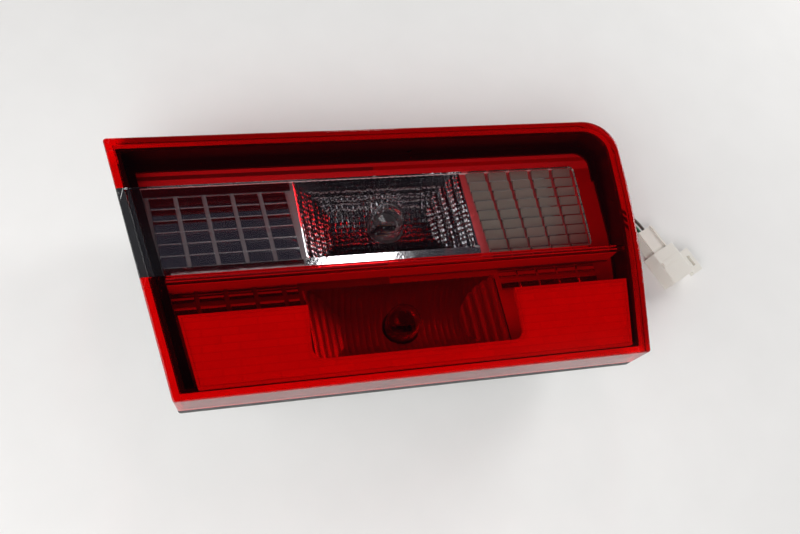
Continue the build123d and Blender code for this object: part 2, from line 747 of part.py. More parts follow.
def contact_strips():
    """Two strips beside the wedge of a bulb, which are also the pockets for them."""
    half = WEDGE_THICK / 2 + SLOT_GAP
    wide = CONTACT_WIDTH / 2
    strips = []
    for side in (-1, 1):
        near = side * half
        far = side * (half + CONTACT_THICK)
        z0 = seat_z - CONTACT_LENGTH
        strips.append(block(-wide, wide, min(near, far), max(near, far), z0, seat_z))
    return strips


def socket(x, y):
    """Bulb holder with neck, keys, flange, grip and two wire boots."""
    body = post(0, 0, flange_under, seat_z, NECK_DIAMETER)
    body += socket_keys(inside_z + KEY_GAP, inside_z + KEY_GAP + KEY_HEIGHT, 0.0)
    body += post(0, 0, flange_under, flange_top, seal_diameter)
    grip = post(0, 0, SOCKET_FLOOR_GAP, flange_under, GRIP_DIAMETER)
    body += chamfer(grip.edges().sort_by(Axis.Z)[0], GRIP_EDGE)
    low = BOOT_LEVEL - BOOT_HEIGHT / 2
    high = BOOT_LEVEL + BOOT_HEIGHT / 2
    body += block(-BOOT_REACH, BOOT_REACH, -BOOT_WIDTH / 2, BOOT_WIDTH / 2, low, high)
    half_wide = WEDGE_WIDTH / 2 + SLOT_GAP
    half_thick = WEDGE_THICK / 2 + SLOT_GAP
    body -= block(-half_wide, half_wide, -half_thick, half_thick, wedge_z, seat_z)
    for strip in contact_strips():
        body -= strip
    return Pos(x, y, 0) * body


def socket_seal(x, y):
    """Rubber washer between the flange of a socket and the back wall."""
    ring = post(0, 0, flange_top, back_z, seal_diameter)
    return Pos(x, y, 0) * (ring - post(0, 0, flange_top - SPARE, back_z + SPARE, NECK_DIAMETER))


def stud(x, y):
    """Stud with a collar in the back wall and a six-sided head inside it."""
    shank = post(x, y, 0.0, inside_z, STUD_DIAMETER)
    shank = chamfer(shank.edges().sort_by(Axis.Z)[0], STUD_TIP)
    shank += post(x, y, back_z, inside_z, STUD_COLLAR)
    head = Pos(x, y, inside_z) * RegularPolygon(STUD_HEAD / 2, 6, major_radius=False)
    return shank + extrude(head, STUD_HEAD_HEIGHT)


def mount_gasket():
    """Foam ring on the back of the tub, cut clear of the socket flanges."""
    ring = prism(GASKET_INSET, gasket_z, back_z)
    ring -= prism(GASKET_INSET + GASKET_WIDTH, gasket_z - SPARE, back_z + SPARE)
    for x, y in bulbs.values():
        ring -= post(x, y, gasket_z - SPARE, back_z + SPARE, seal_diameter + 2 * GASKET_SOCKET_GAP)
    return ring


def screw(x, y):
    """Pan-head screw put in from behind."""
    shank = post(x, y, back_z, back_z + SCREW_LENGTH, SCREW_DIAMETER)
    head = post(x, y, back_z - SCREW_HEAD_HEIGHT, back_z, SCREW_HEAD)
    head = fillet(head.edges().sort_by(Axis.Z)[0], SCREW_HEAD_EDGE)
    under = back_z - SCREW_HEAD_HEIGHT
    half = SCREW_SLOT_LENGTH / 2
    slot = block(-half, half, -SCREW_SLOT / 2, SCREW_SLOT / 2, under, under + SCREW_SLOT_DEPTH)
    cross = slot + Rot(0, 0, 90) * slot
    return shank + head - Pos(x, y, 0) * cross


def vent_cap(x, y):
    """Rubber cap over a vent spigot, with a small hole in its end."""
    low = back_z - VENT_SPIGOT_REACH - VENT_CAP_ROOF
    cap = post(x, y, low, back_z, VENT_CAP)
    cap = fillet(cap.edges().sort_by(Axis.Z)[0], VENT_CAP_EDGE)
    cap -= post(x, y, low + VENT_CAP_ROOF, back_z, VENT_SPIGOT)
    return cap - post(x, y, low, back_z, VENT_CAP_HOLE)


def cord(points):
    """Wire of straight runs joined by arcs that touch them, with its arc radii."""
    places = [Vector(*point) for point in points]
    radii = []
    for before, here, after in zip(places, places[1:], places[2:]):
        turn = (here - before).get_angle(after - here)
        shorter = min((here - before).length, (after - here).length)
        radii.append(WIRE_SHARE * shorter / sin(radians(turn / 2)) * cos(radians(turn / 2)))
    path = FilletPolyline(*points, radius=radii)
    start = Plane(origin=places[0], z_dir=places[1] - places[0])
    tube = sweep(start * Circle(WIRE_DIAMETER / 2), path=path)
    least = min(radii) / WIRE_DIAMETER
    print("wire", round(path.length, 1), "mm long, tightest bend", round(least, 1), "diameters")
    return tube


plug_place = Pos(PLUG_X, PLUG_Y, 0) * Rot(0, 0, PLUG_TURN)
plug_length = PLUG_REAR_LENGTH + PLUG_FRONT_LENGTH
terminal_z = PLUG_FRONT_HEIGHT / 2
lock_x = PLUG_REAR_LENGTH + PLUG_FRONT_LENGTH / 3


def lock_room(proud):
    """Lock bar across the top of the plug, or the slot for it."""
    half = PLUG_FRONT_WIDTH / 2 - 2 * PLUG_EDGE
    top = PLUG_FRONT_HEIGHT + proud
    return block(lock_x, lock_x + LOCK_LENGTH, -half, half, PLUG_FRONT_HEIGHT - LOCK_HEIGHT, top)


def plug_body():
    """Nylon plug with a narrow rear, a wide front and a slotted lock tab on one side."""
    rear_half = PLUG_REAR_WIDTH / 2
    rear = block(
        0, PLUG_REAR_LENGTH + SPARE, -rear_half, rear_half, PLUG_REAR_LIFT, PLUG_REAR_LIFT + PLUG_REAR_HEIGHT
    )
    front_half = PLUG_FRONT_WIDTH / 2
    front = block(PLUG_REAR_LENGTH, plug_length, -front_half, front_half, 0, PLUG_FRONT_HEIGHT)
    front = fillet(front.edges().filter_by(Axis.X), PLUG_EDGE)
    tab_end = plug_length + TAB_FORWARD
    tab_top = PLUG_FRONT_HEIGHT - PLUG_EDGE
    tab_side = front_half + TAB_WIDTH
    tab = block(tab_end - TAB_LENGTH, tab_end, front_half - SPARE, tab_side, tab_top - TAB_HEIGHT, tab_top)
    tab = fillet(tab.edges().filter_by(Axis.Z).sort_by(Axis.Y)[-2:], PLUG_EDGE)
    slot_middle = tab_end - TAB_LENGTH / 2
    slot_side = front_half + TAB_WIDTH / 2
    slot = block(
        slot_middle - TAB_SLOT_LENGTH / 2,
        slot_middle + TAB_SLOT_LENGTH / 2,
        slot_side - TAB_SLOT_WIDTH / 2,
        slot_side + TAB_SLOT_WIDTH / 2,
        tab_top - TAB_HEIGHT,
        tab_top,
    )
    body = rear + front + tab - slot
    rib_y = PLUG_REAR_WIDTH / 2 - PLUG_RIB
    for side in (-1, 1):
        near = side * rib_y - PLUG_RIB / 2
        roof = PLUG_REAR_LIFT + PLUG_REAR_HEIGHT
        body += block(0, PLUG_REAR_LENGTH, near, near + PLUG_RIB, roof - SPARE, roof + PLUG_RIB_HEIGHT)
    for place in (-1, 0, 1):
        y = place * TERMINAL_PITCH
        half_wide = TERMINAL_WIDTH / 2
        half_high = TERMINAL_HEIGHT / 2
        body -= block(
            plug_length - TERMINAL_DEPTH,
            plug_length,
            y - half_wide,
            y + half_wide,
            terminal_z - half_high,
            terminal_z + half_high,
        )
    return plug_place * (body - lock_room(0.0))


def plug_terminals():
    """Brass strips standing in the three slots of the plug."""
    strips = []
    for place in (-1, 0, 1):
        y = place * TERMINAL_PITCH
        half = TERMINAL_WIDTH / 2
        low = terminal_z - TERMINAL_HEIGHT / 2
        rear = plug_length - TERMINAL_DEPTH
        strip = block(rear, plug_length - TERMINAL_SETBACK, y - half, y + half, low, low + TERMINAL_STEM)
        strips.append(plug_place * strip)
    return Compound(children=strips)


PIECES = {}
shell = lens_shell()
PIECES["lens_red"] = lens_red(shell)
PIECES["lens_clear"] = shell & window_block(0.0)
PIECES["weld_red"] = weld_ring() - window_block(WINDOW_JOINT)
PIECES["weld_clear"] = weld_ring() & window_block(0.0)
PIECES["housing"] = housing()
PIECES["bezel"] = bezel()
PIECES["reverse_reflector"] = reverse_reflector()
PIECES["tail_reflector"] = tail_reflector()
PIECES["red_panel"] = red_panel()
for name, (bulb_x, bulb_y) in bulbs.items():
    PIECES[name + "_bulb"] = bulb_glass(bulb_x, bulb_y)
    PIECES[name + "_filament"] = bulb_filament(bulb_x, bulb_y)
    PIECES[name + "_socket"] = socket(bulb_x, bulb_y)
    strips = [Pos(bulb_x, bulb_y, 0) * strip for strip in contact_strips()]
    PIECES[name + "_contacts"] = Compound(children=strips)
PIECES["socket_seals"] = Compound(children=[socket_seal(x, y) for x, y in bulbs.values()])
PIECES["studs"] = Compound(children=[stud(x, y) for x, y in studs_at])
PIECES["mount_gasket"] = mount_gasket()
PIECES["reflector_screws"] = Compound(children=[screw(x, y) for x, y in upper_screws + lower_screws])
PIECES["vent_caps"] = Compound(children=[vent_cap(side * VENT_X, VENT_Y) for side in (-1, 1)])
PIECES["reverse_wire"] = cord(REVERSE_WIRE)
PIECES["tail_wire"] = cord(TAIL_WIRE)
PIECES["earth_wire"] = cord(EARTH_WIRE)
PIECES["link_wire"] = cord(LINK_WIRE)
PIECES["plug_body"] = plug_body()
PIECES["plug_terminals"] = plug_terminals()
PIECES["plug_lock"] = plug_place * lock_room(LOCK_PROUD)

print("studs at", [(round(x, 4), round(y, 4)) for x, y in studs_at])
print("levels", round(gasket_z, 3), round(panel_z, 3), round(edge_z, 3), "split", round(split_y, 3))
for name, piece in PIECES.items():
    export_step(piece, f"parts/{name}.step")
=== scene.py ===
# %% [markdown]
# # Dressing a tail lamp
#
# The lamp's solids come from CAD, already at their real size and in their real places. This
# lesson gives them their finishes: red and clear acrylic, bright coated reflectors, black
# plastic, rubber, steel and nylon. Nothing is moved. What CAD leaves plain, such as screw
# threads and lamp filaments, is modelled here and takes the place of the plain solid.

# %% Load the frame
import json
import math

import bmesh
import bpy
from mathutils import Matrix, Vector


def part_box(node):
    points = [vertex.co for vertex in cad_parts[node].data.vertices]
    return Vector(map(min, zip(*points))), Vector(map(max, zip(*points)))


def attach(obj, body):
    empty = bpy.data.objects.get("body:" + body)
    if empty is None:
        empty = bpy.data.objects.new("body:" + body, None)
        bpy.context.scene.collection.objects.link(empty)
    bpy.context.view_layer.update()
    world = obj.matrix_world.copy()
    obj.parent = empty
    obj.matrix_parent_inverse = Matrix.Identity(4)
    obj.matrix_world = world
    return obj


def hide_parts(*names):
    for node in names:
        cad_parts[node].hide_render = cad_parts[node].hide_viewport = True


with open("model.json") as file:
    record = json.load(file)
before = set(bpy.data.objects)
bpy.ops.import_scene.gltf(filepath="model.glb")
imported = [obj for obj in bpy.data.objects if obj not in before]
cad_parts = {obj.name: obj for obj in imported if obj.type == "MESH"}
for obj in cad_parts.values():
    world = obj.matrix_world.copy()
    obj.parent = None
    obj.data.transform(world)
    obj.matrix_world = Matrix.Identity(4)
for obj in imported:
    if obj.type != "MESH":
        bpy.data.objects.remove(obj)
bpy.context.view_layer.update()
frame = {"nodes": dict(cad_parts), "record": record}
nodes = frame["nodes"]
scene = bpy.context.scene
scene.view_settings.view_transform = "Standard"
MM = 0.001
slot_of = {part["node"]: part["material_slot"] for part in frame["record"]["subparts"]}
mounts = {mount["name"]: mount for mount in frame["record"]["mounts"]}

# %% [markdown]
# ## Camera
#
# The lamp lies on its back and is seen from above and from its lower edge, close up, so that
# its near corner looks larger. A camera can be placed by trial, but here it is worked out
# from the corners of the lens: it stands off from the middle of the lens face by one vector
# and is rolled about its own line of sight, which is what turns the lamp in the picture.

# %% Camera
LOOK_AT = Vector((2.1, -12.55, 74.7)) * MM
STAND_OFF = Vector((-81.34, -132.4, 354.56)) * MM
ROLL = math.radians(25.1)
FOCAL_LENGTH = 33.75
SENSOR_WIDTH = 36.0

camera_data = bpy.data.cameras.new("camera")
camera_data.lens = FOCAL_LENGTH
camera_data.sensor_width = SENSOR_WIDTH
camera = bpy.data.objects.new("camera", camera_data)
scene.collection.objects.link(camera)
place = Matrix.Translation(LOOK_AT + STAND_OFF)
sight = (-STAND_OFF).to_track_quat("-Z", "Y").to_matrix().to_4x4()
camera.matrix_world = place @ sight @ Matrix.Rotation(ROLL, 4, "Z")
scene.camera = camera
print("camera at", [round(v, 3) for v in camera.matrix_world.translation])

# %% [markdown]
# ## Shared effects
#
# Several finishes share the same small faults. Moulded plastic has a fine grain and its colour
# drifts a little; edges that hands rub turn paler; polished faces carry faint hazy patches.
# Each effect could be built again in every material. Here it is a node group with named
# inputs, so one change reaches every finish that uses it. The groups give out only masks,
# heights and roughness: the shaders stay in the materials.

# %% Helpers for node groups
def new_group(name, inputs, outputs):
    """Empty shader group with number inputs and number outputs."""
    group = bpy.data.node_groups.new(name, "ShaderNodeTree")
    for label, value in inputs.items():
        socket = group.interface.new_socket(label, in_out="INPUT", socket_type="NodeSocketFloat")
        socket.default_value = value
    for label in outputs:
        group.interface.new_socket(label, in_out="OUTPUT", socket_type="NodeSocketFloat")
    start = group.nodes.new("NodeGroupInput")
    end = group.nodes.new("NodeGroupOutput")
    return group, start, end


def add_math(tree, operation, first, *others):
    """Math over numbers or sockets, from left to right, given by the last result."""
    for other in others:
        node = tree.nodes.new("ShaderNodeMath")
        node.operation = operation
        for side, value in enumerate((first, other)):
            if isinstance(value, (int, float)):
                node.inputs[side].default_value = value
            else:
                tree.links.new(value, node.inputs[side])
        first = node.outputs[0]
    return first


print("helpers:", new_group.__name__, add_math.__name__)

# %% Moulded grain
GRAIN_DETAIL = 3.0
DRIFT_SCALE = 35.0

grain_group, start, end = new_group("moulded grain", {"Grain Size": 2000.0}, ["Height", "Drift"])
places = grain_group.nodes.new("ShaderNodeTexCoord")
fine = grain_group.nodes.new("ShaderNodeTexNoise")
fine.inputs["Detail"].default_value = GRAIN_DETAIL
broad = grain_group.nodes.new("ShaderNodeTexNoise")
broad.inputs["Scale"].default_value = DRIFT_SCALE
grain_group.links.new(places.outputs["Object"], fine.inputs["Vector"])
grain_group.links.new(places.outputs["Object"], broad.inputs["Vector"])
grain_group.links.new(start.outputs["Grain Size"], fine.inputs["Scale"])
grain_group.links.new(fine.outputs["Fac"], end.inputs["Height"])
grain_group.links.new(broad.outputs["Fac"], end.inputs["Drift"])
print("group:", grain_group.name)

# %% Rubbed edges
EDGE_SAMPLES = 4
RUB_STRENGTH = 4.0

rub_inputs = {"Edge Width": 0.6 * MM, "Patchiness": 400.0}
rub_group, start, end = new_group("rubbed edges", rub_inputs, ["Mask"])
rounded = rub_group.nodes.new("ShaderNodeBevel")
rounded.samples = EDGE_SAMPLES
flat = rub_group.nodes.new("ShaderNodeNewGeometry")
turn = rub_group.nodes.new("ShaderNodeVectorMath")
turn.operation = "DOT_PRODUCT"
patches = rub_group.nodes.new("ShaderNodeTexNoise")
places = rub_group.nodes.new("ShaderNodeTexCoord")
rub_group.links.new(places.outputs["Object"], patches.inputs["Vector"])
rub_group.links.new(start.outputs["Patchiness"], patches.inputs["Scale"])
rub_group.links.new(start.outputs["Edge Width"], rounded.inputs["Radius"])
rub_group.links.new(rounded.outputs["Normal"], turn.inputs[0])
rub_group.links.new(flat.outputs["Normal"], turn.inputs[1])
bend = add_math(rub_group, "SUBTRACT", 1.0, turn.outputs["Value"])
broken = add_math(rub_group, "MULTIPLY", bend, RUB_STRENGTH, patches.outputs["Fac"])
rub_group.links.new(add_math(rub_group, "MINIMUM", broken, 1.0), end.inputs["Mask"])
print("group:", rub_group.name)

# %% Hazy patches
HAZE_DETAIL = 6.0

haze_inputs = {"Clear": 0.02, "Hazy": 0.08, "Patch Size": 60.0}
haze_group, start, end = new_group("hazy patches", haze_inputs, ["Roughness"])
places = haze_group.nodes.new("ShaderNodeTexCoord")
cloud = haze_group.nodes.new("ShaderNodeTexNoise")
cloud.inputs["Detail"].default_value = HAZE_DETAIL
reach = haze_group.nodes.new("ShaderNodeMapRange")
haze_group.links.new(places.outputs["Object"], cloud.inputs["Vector"])
haze_group.links.new(start.outputs["Patch Size"], cloud.inputs["Scale"])
haze_group.links.new(cloud.outputs["Fac"], reach.inputs["Value"])
haze_group.links.new(start.outputs["Clear"], reach.inputs["To Min"])
haze_group.links.new(start.outputs["Hazy"], reach.inputs["To Max"])
haze_group.links.new(reach.outputs["Result"], end.inputs["Roughness"])
print("group:", haze_group.name)

# %% [markdown]
# ## Tools for the finishes
#
# Every finish starts from the Principled shader, which covers plastics, metals and glass. Small
# helpers keep the later cells short: they start a material, place a group in it with its own
# values, mix two colours or two shaders by a mask, raise the surface, and give the finish to
# every piece of its slot.

# %% Helpers that start a finish
def start_finish(name):
    """New material with its Principled shader."""
    material = bpy.data.materials.new(name)
    material.use_nodes = True
    return material, material.node_tree, material.node_tree.nodes["Principled BSDF"]


def place_group(tree, group, **values):
    """Group node with its inputs set by name."""
    node = tree.nodes.new("ShaderNodeGroup")
    node.node_tree = group
    for label, value in values.items():
        node.inputs[label.replace("_", " ")].default_value = value
    return node


print("helpers:", start_finish.__name__, place_group.__name__)

# %% Helpers that mix and raise
# A Mix node keeps sockets for every kind of data, and these are the ones for colours.
MIX_FACTOR = 0
MIX_FIRST = 6
MIX_SECOND = 7
MIX_RESULT = 2


def mix_colours(tree, mask, first, second, blend="MIX"):
    """Colour that goes from the first to the second with a mask or a share."""
    mix = tree.nodes.new("ShaderNodeMix")
    mix.data_type = "RGBA"
    mix.blend_type = blend
    for index, value in ((MIX_FACTOR, mask), (MIX_FIRST, first), (MIX_SECOND, second)):
        if isinstance(value, tuple):
            mix.inputs[index].default_value = (*value, 1.0)
        elif isinstance(value, float):
            mix.inputs[index].default_value = value
        else:
            tree.links.new(value, mix.inputs[index])
    return mix.outputs[MIX_RESULT]


def mix_shaders(tree, mask, first, second):
    """Surface that goes from the first shader to the second with a mask."""
    choice = tree.nodes.new("ShaderNodeMixShader")
    tree.links.new(mask, choice.inputs[0])
    tree.links.new(first, choice.inputs[1])
    tree.links.new(second, choice.inputs[2])
    tree.links.new(choice.outputs["Shader"], tree.nodes["Material Output"].inputs["Surface"])


def raise_surface(tree, shader, height, strength, distance):
    """Bump from a height in front of a shader."""
    bump = tree.nodes.new("ShaderNodeBump")
    bump.inputs["Strength"].default_value = strength
    bump.inputs["Distance"].default_value = distance
    tree.links.new(height, bump.inputs["Height"])
    tree.links.new(bump.outputs["Normal"], shader.inputs["Normal"])


print("helpers:", mix_colours.__name__, mix_shaders.__name__, raise_surface.__name__)

# %% Helper that dresses the pieces
finishes = {}


def dress(slot, material):
    """Keep a finish and give it to every CAD node of its slot."""
    finishes[slot] = material
    dressed = [name for name, owner in slot_of.items() if owner == slot]
    for name in dressed:
        mesh = nodes[name].data
        mesh.materials.clear()
        mesh.materials.append(material)
    print(slot, "->", ", ".join(dressed))


print("slots to dress:", len(set(slot_of.values())))

# %% [markdown]
# ## Plain plastics and rubber
#
# The tub, bezel, sockets, plug, seals and gasket are all moulded, and differ in colour, gloss
# and in how coarse their grain is. The two beads of melted plastic under the lens are of the
# same kind: the red one is bright, and the clear one looks nearly black, because the black rim
# shows through it. A separate material for each would say the same thing many times, so one
# function makes them all: the drift shades the colour, the grain lifts the surface, and rubbed
# edges are paler.

# %% Recipe for moulded finishes
DRIFT_SHADE = 0.86
GLOSS_SPREAD = 0.2
MOULDED_PATCHES = 120.0
GRAIN_DEPTH = 0.2 * MM


def moulded(slot, colour, edge_colour, roughness, grain, relief):
    """Moulded plastic or rubber with grain, colour drift and rubbed edges."""
    material, tree, shader = start_finish(slot)
    texture = place_group(tree, grain_group, Grain_Size=grain)
    rubbed = place_group(tree, rub_group)
    darker = tuple(DRIFT_SHADE * part for part in colour)
    body = mix_colours(tree, texture.outputs["Drift"], darker, colour)
    worn = mix_colours(tree, rubbed.outputs["Mask"], body, edge_colour)
    tree.links.new(worn, shader.inputs["Base Color"])
    clear = (1.0 - GLOSS_SPREAD) * roughness
    hazy = (1.0 + GLOSS_SPREAD) * roughness
    gloss = place_group(tree, haze_group, Clear=clear, Hazy=hazy, Patch_Size=MOULDED_PATCHES)
    tree.links.new(gloss.outputs["Roughness"], shader.inputs["Roughness"])
    raise_surface(tree, shader, texture.outputs["Height"], relief, GRAIN_DEPTH)
    dress(slot, material)


print("colour drifts to", DRIFT_SHADE, "of itself")

# %% Tub, bezel and sockets
moulded(
    "housing_plastic", colour=(0.022, 0.022, 0.024), edge_colour=(0.07, 0.07, 0.075),
    roughness=0.5, grain=1800.0, relief=0.5,
)
moulded(
    "bezel_black", colour=(0.009, 0.009, 0.011), edge_colour=(0.02, 0.02, 0.022),
    roughness=0.3, grain=2500.0, relief=0.15,
)
moulded(
    "socket_plastic", colour=(0.10, 0.10, 0.105), edge_colour=(0.2, 0.2, 0.2),
    roughness=0.45, grain=2200.0, relief=0.3,
)

# %% Seals, gasket and plug
moulded(
    "seal_rubber", colour=(0.02, 0.02, 0.021), edge_colour=(0.045, 0.045, 0.045),
    roughness=0.65, grain=1500.0, relief=0.4,
)
moulded(
    "gasket_foam", colour=(0.035, 0.035, 0.037), edge_colour=(0.06, 0.06, 0.06),
    roughness=0.85, grain=900.0, relief=1.0,
)
moulded(
    "plug_nylon", colour=(0.80, 0.78, 0.71), edge_colour=(0.9, 0.88, 0.82),
    roughness=0.42, grain=1600.0, relief=0.2,
)

# %% Beads of melted plastic
moulded(
    "weld_red", colour=(0.95, 0.05, 0.05), edge_colour=(0.98, 0.08, 0.08),
    roughness=0.4, grain=900.0, relief=0.4,
)
moulded(
    "weld_clear", colour=(0.05, 0.05, 0.055), edge_colour=(0.09, 0.09, 0.095),
    roughness=0.4, grain=900.0, relief=0.4,
)

# %% [markdown]
# ## Wires
#
# Three thin wires run from the bulb holders to the plug beside the lamp, and a short one links
# the two holders. A wire is soft and round, so a NURBS curve with a round bevel suits it: the
# route's points pull the curve along without its passing through every one of them, which
# gives the easy bends that a laid wire has. The points are those of the CAD route, and the last
# two follow from the place and the direction of the plug.

# %% Wire finishes
WIRE_LOOK = {"roughness": 0.45, "grain": 1500.0, "relief": 0.1}
moulded("wire_brown", colour=(0.10, 0.08, 0.07), edge_colour=(0.12, 0.10, 0.09), **WIRE_LOOK)
moulded("wire_green", colour=(0.03, 0.17, 0.09), edge_colour=(0.05, 0.2, 0.11), **WIRE_LOOK)
moulded("wire_grey", colour=(0.05, 0.055, 0.055), edge_colour=(0.07, 0.075, 0.075), **WIRE_LOOK)

# %% Wire routes
WIRE_ROUTES = {
    "reverse_wire": [
        (23.5, 29.7, 9.0), (37.0, 29.7, 9.0), (61.0, 30.5, 2.2),
        (96.0, 32.0, 1.0), (130.0, 40.5, 1.0), (163.0, 51.5, 1.3),
    ],
    "tail_wire": [
        (23.5, -31.5, 9.0), (38.0, -31.5, 9.0), (63.0, -24.0, 2.2), (92.0, -6.0, 1.0),
        (119.0, 17.0, 1.0), (144.0, 35.5, 1.0), (164.0, 43.0, 1.2),
    ],
    "earth_wire": [
        (23.5, -35.5, 9.0), (38.0, -35.5, 9.0), (65.0, -30.0, 2.2), (95.0, -13.0, 1.0),
        (123.0, 10.0, 1.0), (148.0, 30.0, 1.0), (164.0, 37.0, 1.2),
    ],
    "link_wire": [
        (-11.5, 27.2, 9.0), (-23.0, 27.2, 9.0), (-36.0, 15.0, 2.6), (-40.0, -4.0, 1.0),
        (-35.0, -22.5, 2.6), (-23.0, -33.5, 9.0), (-11.5, -33.5, 9.0),
    ],
}
print("routes:", ", ".join(WIRE_ROUTES))

# %% Way into the plug
PLUG_LENGTH = 40.0 * MM
PLUG_WIRE_LEVEL = 4.0 * MM
PLUG_WIRE_PITCH = 3.6 * MM
PLUG_ROW = {"reverse_wire": 1, "tail_wire": 0, "earth_wire": -1}
PLUG_RUN_IN = {"reverse_wire": 14.0 * MM, "tail_wire": 14.0 * MM, "earth_wire": 12.0 * MM}

plug_axis = Vector(mounts["plug_face"]["axis"])
plug_across = Vector((-plug_axis.y, plug_axis.x, 0.0))
plug_rear = Vector(mounts["plug_face"]["pos_m"]) - PLUG_LENGTH * plug_axis
plug_rear.z = PLUG_WIRE_LEVEL


def laid_route(name):
    """Points of a wire in metres, with its way into the plug if it has one."""
    points = [tuple(value * MM for value in place) for place in WIRE_ROUTES[name]]
    if name in PLUG_ROW:
        entry = plug_rear + PLUG_ROW[name] * PLUG_WIRE_PITCH * plug_across
        points += [tuple(entry - PLUG_RUN_IN[name] * plug_axis), tuple(entry)]
    return points


print("wires enter the plug at", [round(v, 4) for v in plug_rear])

# %% Helpers for curves and stand-ins
def round_curve(name, radius, resolution):
    """Empty curve with a round section and closed ends."""
    curve = bpy.data.curves.new(name, "CURVE")
    curve.dimensions = "3D"
    curve.bevel_depth = radius
    curve.bevel_resolution = resolution
    curve.use_fill_caps = True
    return curve


def add_run(curve, kind, points):
    """One more spline of a curve, with its points set."""
    spline = curve.splines.new(kind)
    spline.points.add(len(points) - 1)
    for point, place in zip(spline.points, points):
        point.co = (*place, 1.0)
    return spline


def stand_in(name, data, node):
    """Piece that takes the place of a CAD node, in that node's finish."""
    piece = bpy.data.objects.new(name, data)
    scene.collection.objects.link(piece)
    data.materials.append(finishes[slot_of[node]])
    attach(piece, "root")
    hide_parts(node)
    return piece


print("helpers:", round_curve.__name__, add_run.__name__, stand_in.__name__)

# %% Laid wires
WIRE_DIAMETER = 2.0 * MM
WIRE_ORDER = 3
WIRE_STEPS = 12

for name in WIRE_ROUTES:
    route = laid_route(name)
    curve = round_curve(name + "_laid", WIRE_DIAMETER / 2, resolution=4)
    spline = add_run(curve, "NURBS", route)
    spline.order_u = WIRE_ORDER
    spline.use_endpoint_u = True
    spline.resolution_u = WIRE_STEPS
    wire = stand_in(name + "_laid", curve, name)
    print(name, "laid with", len(route), "points")

# %% [markdown]
# ## Red and clear acrylic
#
# The lens is one moulding in two colours. Clear plastic needs real refraction, or the reflectors
# behind it look painted on. The trouble is light: rays from the lamps don't find their way
# through a refracting shell, and all behind it goes black. So the finish lets shadow rays
# straight through, with the tint of the plastic, and keeps refraction for what the eye sees.
# The glass of the bulbs is made in the same way.

# %% Lens and bulb finishes
ACRYLIC_INDEX = 1.49
GLASS_INDEX = 1.5
LENS_PATCHES = 45.0


def see_through(slot, colour, shadow, index, haze):
    """Refracting plastic or glass that tints the light it lets through."""
    material, tree, shader = start_finish(slot)
    shader.inputs["Base Color"].default_value = (*colour, 1.0)
    shader.inputs["Transmission Weight"].default_value = 1.0
    shader.inputs["IOR"].default_value = index
    gloss = place_group(tree, haze_group, Clear=0.0, Hazy=haze, Patch_Size=LENS_PATCHES)
    tree.links.new(gloss.outputs["Roughness"], shader.inputs["Roughness"])
    passing = tree.nodes.new("ShaderNodeBsdfTransparent")
    passing.inputs["Color"].default_value = (*shadow, 1.0)
    rays = tree.nodes.new("ShaderNodeLightPath")
    mix_shaders(tree, rays.outputs["Is Shadow Ray"], shader.outputs["BSDF"], passing.outputs["BSDF"])
    dress(slot, material)


see_through(
    "red_lens", colour=(0.8, 0.02, 0.026), shadow=(0.92, 0.1, 0.11),
    index=ACRYLIC_INDEX, haze=0.05,
)
see_through(
    "clear_lens", colour=(0.95, 0.955, 0.96), shadow=(0.95, 0.95, 0.95),
    index=ACRYLIC_INDEX, haze=0.04,
)
see_through(
    "bulb_glass", colour=(0.97, 0.97, 0.97), shadow=(0.95, 0.95, 0.95),
    index=GLASS_INDEX, haze=0.02,
)

# %% [markdown]
# ## Bright reflectors
#
# Reflectors are plastic with a bright metal coat, laid on in a vacuum. It is one coat, but the
# mould under it gives it several finishes, and two zones carry painted light. The left-hand cells
# are mirrors. The strips between cells are matt, and on the right they carry a painted red
# reflection of the lens. The stepped cells on the right are satin, and the high wall is pale.
# The band along the top is painted pale as painted light in its shaded recess, with a painted
# shade line along it. The upper bowl is cut into small bright facets, and the lower bowl is satin
# and nearly smooth. Each could have a material of its own, but the solids carry no marks to part
# their faces by. So all are one finish, and the place on the reflector, above all its height over
# the panel, says which zone it is in.

# %% Heights and edges of the zones
PANEL_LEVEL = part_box("bezel")[0][2]
LEVEL_SLACK = 0.08 * MM
ROW_EDGE = (0.91 * MM, 0.96 * MM)
ROW_EDGE_SHARE = 0.45
SATIN_FOOT = 1.6 * MM
WALL_FOOT = 4.5 * MM
BOWL_DEPTH = 0.3 * MM
WINDOW_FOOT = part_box("lens_clear")[0][1]
WINDOW_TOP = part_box("lens_clear")[1][1]
LEDGE_MIDDLE = WINDOW_FOOT + 10.1 * MM
LEDGE_HALF = 3.8 * MM
LEDGE_DEPTH = 1.3 * MM
# The band above the window is painted pale as painted light in its shaded recess, and a painted shade
# line runs along it.
LIT_BAND_FOOT = WINDOW_TOP + 9.0 * MM
SHADE_LINE_MIDDLE = WINDOW_TOP + 15.6 * MM
SHADE_LINE_HALF = 1.2 * MM
print("panel level", round(PANEL_LEVEL, 5), "window", round(WINDOW_FOOT, 5), round(WINDOW_TOP, 5))

# %% Place on a reflector
ZONES = ["Matt", "Pale", "Satin", "Bowl", "Right", "Lower"]
zone_group, start, end = new_group("reflector zones", {"Level": PANEL_LEVEL}, ZONES)
places = zone_group.nodes.new("ShaderNodeTexCoord")
parts = zone_group.nodes.new("ShaderNodeSeparateXYZ")
zone_group.links.new(places.outputs["Object"], parts.inputs["Vector"])
rise = add_math(zone_group, "SUBTRACT", parts.outputs["Z"], start.outputs["Level"])
right = add_math(zone_group, "GREATER_THAN", parts.outputs["X"], 0.0)
lower = add_math(zone_group, "LESS_THAN", parts.outputs["Y"], WINDOW_FOOT)
zone_group.links.new(right, end.inputs["Right"])
zone_group.links.new(lower, end.inputs["Lower"])


def distance_from(tree, value, middle):
    """How far a value lies from a middle."""
    return add_math(tree, "ABSOLUTE", add_math(tree, "SUBTRACT", value, middle), 0.0)


print("group:", zone_group.name, "with", ", ".join(ZONES))
